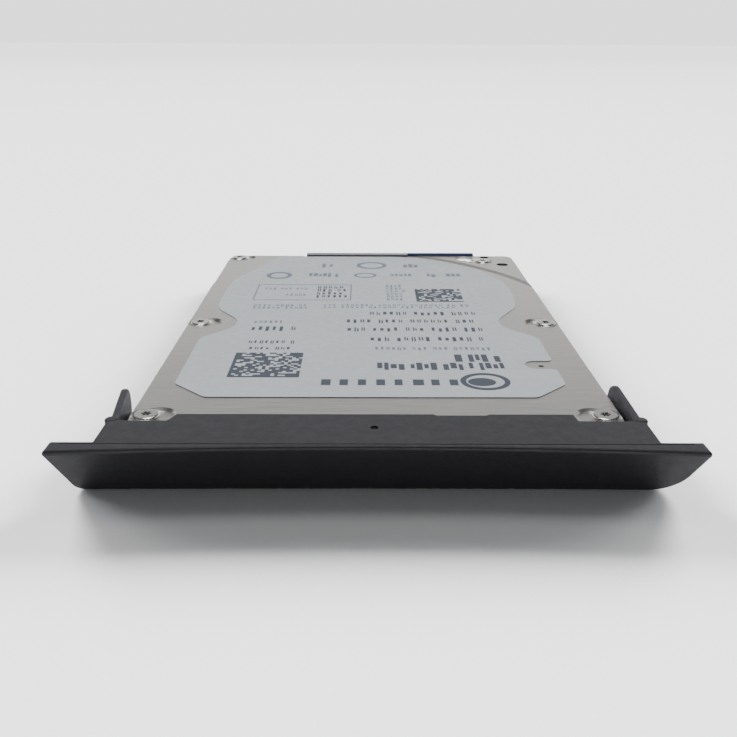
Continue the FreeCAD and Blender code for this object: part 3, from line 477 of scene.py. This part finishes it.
# ---------------------------------------------------------------- film along the plug's hood
hood_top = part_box("data_connector")[1][2]
film_top = hood_top + 0.02 * MM
tape_left, tape_right = 9.1, 25.15
tape_front, tape_rear = 100.40, 101.45


def hood_films():
    """Blue tape over one end of the hood's rear lip and a pale strip over the rest."""
    bm = bmesh.new()
    blue = ink("tape_blue", (0.013, 0.021, 0.080))
    grey = ink("strip_grey", (0.105, 0.110, 0.125))
    bm = bmesh.new()
    bar(bm, tape_left, tape_right, tape_front, tape_rear, hood_top, film_top)
    bar(bm, tape_left, tape_right, tape_front, tape_front + 0.015, cover_top, hood_top)
    piece("plug_hood_tape", from_bmesh("plug_hood_tape", bm), blue, "chassis")
    bm = bmesh.new()
    bar(bm, -15.7, 8.85, 99.4, 101.15, hood_top, film_top)
    piece("plug_hood_strip", from_bmesh("plug_hood_strip", bm), grey, "chassis")


hood_films()


# ---------------------------------------------------------------- flexible circuit inside the drive
def flex_ribbon():
    """The free loop of film, fixed at its bracket and carried by the arm's pad at its other end."""
    bm = bmesh.new()
    bm.from_mesh(nodes["flex_loop"].data)
    longest_edge, rounds = 0.4 * MM, 5
    for _ in range(rounds):
        edges = [edge for edge in bm.edges if edge.calc_length() > longest_edge]
        if not edges:
            break
        bmesh.ops.subdivide_edges(bm, edges=edges, cuts=1)
    ribbon = piece("flex_ribbon", from_bmesh("flex_ribbon", bm), finishes["flex_film"], None)
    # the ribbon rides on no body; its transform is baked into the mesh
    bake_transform(ribbon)
    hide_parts("flex_loop")


flex_ribbon()


# ---------------------------------------------------------------- floor, sky, lights and camera
pale = (0.975, 0.985, 1.0, 1)
sky_dim, sky_bright = 0.11, 1.95
sky_rise = (0.05, 0.56)      # upward part of a direction over which the bright sky fades
sky_turn = (-0.3, 0.6)       # rearward part of a direction over which it grows bright


def floor():
    """A wide pale table top whose colour grows a little darker far off: painted shade for light falling off
    with distance.
    """
    bm = bmesh.new()
    reach, level = 60.0, -0.05 * MM
    corners = ((-reach, -reach), (reach, -reach), (reach, reach), (-reach, reach))
    bm.faces.new([bm.verts.new((x, y, level)) for x, y in corners])
    ground = bpy.data.objects.new("floor", from_bmesh("floor", bm))
    bpy.context.scene.collection.objects.link(ground)
    m = Nodes("floor_paper", Roughness=0.8, Specular_IOR_Level=0.1)
    mottle = m.ramp(m.noise(2.0, 2.0), [(0.3, (0.90, 0.905, 0.915)), (0.7, (0.92, 0.925, 0.935))])
    distance = m.add("VectorMath", operation="LENGTH")
    m.link(m.coordinates(), distance.inputs[0])
    # painted shade: the floor colour darkens between 0.5 m and 3.6 m away, standing in for light falling off
    # far from the object
    painted_falloff_shade = m.spread(distance.outputs["Value"], 0.0, 1.0, 0.5, 3.6)
    m.color(m.mix(painted_falloff_shade, mottle, (0.74, 0.745, 0.75)))
    ground.data.materials.append(m.material)


def sky():
    """Bright low behind the object and dim elsewhere."""
    world = bpy.data.worlds.new("studio")
    world.use_nodes = True
    tree = world.node_tree
    link = tree.links.new
    direction = tree.nodes.new("ShaderNodeTexCoord")
    axes = tree.nodes.new("ShaderNodeSeparateXYZ")
    link(direction.outputs["Generated"], axes.inputs[0])
    low = tree.nodes.new("ShaderNodeMapRange")
    behind = tree.nodes.new("ShaderNodeMapRange")
    for node, axis, span in ((low, "Z", sky_rise), (behind, "Y", sky_turn)):
        link(axes.outputs[axis], node.inputs["Value"])
        node.interpolation_type = "SMOOTHSTEP"
        node.inputs["From Min"].default_value, node.inputs["From Max"].default_value = span
    low.inputs["To Min"].default_value, low.inputs["To Max"].default_value = 1.0, 0.0
    share = tree.nodes.new("ShaderNodeMath")
    share.operation = "MULTIPLY"
    link(low.outputs["Result"], share.inputs[0])
    link(behind.outputs["Result"], share.inputs[1])
    strength = tree.nodes.new("ShaderNodeMapRange")
    link(share.outputs[0], strength.inputs["Value"])
    strength.inputs["To Min"].default_value = sky_dim
    strength.inputs["To Max"].default_value = sky_bright
    link(strength.outputs["Result"], tree.nodes["Background"].inputs["Strength"])
    tree.nodes["Background"].inputs["Color"].default_value = pale
    bpy.context.scene.world = world


def backdrop():
    """A plain pale wall some metres off at the sides and the front; it lights nothing."""
    bm = bmesh.new()
    radius, foot, height = 5.0, -0.01, 2.5
    start, end, steps = math.radians(130), math.radians(410), 56
    low, high = [], []
    for k in range(steps + 1):
        angle = start + (end - start) * k / steps
        x, y = radius * math.cos(angle), radius * math.sin(angle)
        low.append(bm.verts.new((x, y, foot)))
        high.append(bm.verts.new((x, y, height)))
    for k in range(steps):
        bm.faces.new((low[k], low[k + 1], high[k + 1], high[k]))
    wall = bpy.data.objects.new("backdrop", from_bmesh("backdrop", bm))
    bpy.context.scene.collection.objects.link(wall)
    m = Nodes("backdrop_paper", Base_Color=(0, 0, 0, 1), Specular_IOR_Level=0.0,
              Emission_Strength=sky_bright, Emission_Color=pale)
    wall.data.materials.append(m.material)
    wall.visible_diffuse = wall.visible_glossy = wall.visible_transmission = wall.visible_shadow = False


def sun(name, elevation, azimuth, spread, strength):
    """Broad light from behind; it lights matt surfaces and leaves no glare on flat ones."""
    data = bpy.data.lights.new(name, "SUN")
    data.energy = strength
    data.angle = math.radians(spread)
    light = bpy.data.objects.new(name, data)
    light.rotation_euler = (math.radians(elevation - 90), 0, math.radians(azimuth))
    light.visible_glossy = False
    bpy.context.scene.collection.objects.link(light)


def area_light(name, spot, size, power, glossy_only=False):
    """A soft panel that faces the object; a glossy_only one shows in reflections and lights nothing else."""
    data = bpy.data.lights.new(name, "AREA")
    data.shape = "RECTANGLE"
    data.size, data.size_y = size
    data.energy = power
    light = bpy.data.objects.new(name, data)
    light.location = spot
    light.rotation_euler = (-Vector(spot)).to_track_quat("-Z", "Y").to_euler()
    light.visible_diffuse = not glossy_only
    bpy.context.scene.collection.objects.link(light)


def camera():
    """Seen from the front plate's side, about 21 degrees above the horizon."""
    pitch, yaw, roll = math.radians(20.91), math.radians(-0.35), math.radians(0.25)
    spot = place(-1.81, -107.17, 56.15)
    forward = Vector((-math.sin(yaw) * math.cos(pitch), math.cos(yaw) * math.cos(pitch), -math.sin(pitch)))
    level_right = Vector((math.cos(yaw), math.sin(yaw), 0))
    level_up = level_right.cross(forward)
    right = level_right * math.cos(roll) + level_up * math.sin(roll)
    up = level_up * math.cos(roll) - level_right * math.sin(roll)
    data = bpy.data.cameras.new("camera")
    data.sensor_width = 36.0
    data.lens = 41.62
    data.clip_start = 0.005
    cam = bpy.data.objects.new("camera", data)
    axes = Matrix((right, up, -forward)).transposed().to_4x4()
    cam.matrix_world = Matrix.Translation(spot) @ axes
    bpy.context.scene.collection.objects.link(cam)
    bpy.context.scene.camera = cam


floor()
sky()
backdrop()
for side, side_name in ((1, "left"), (-1, "right")):
    sun("key_" + side_name, 22.0, side * 33.0, 20.0, 10.0)
    sun("edge_" + side_name, 13.0, side * 58.0, 24.0, 2.9)
area_light("top", (0.0, 0.35, 0.9), (0.5, 0.35), 1.35)
area_light("glint", (0.0, 0.1, 0.95), (0.45, 0.25), 7.0, True)
area_light("fill", (0.0, -1.2, 0.05), (0.8, 0.08), 7.0)
camera()
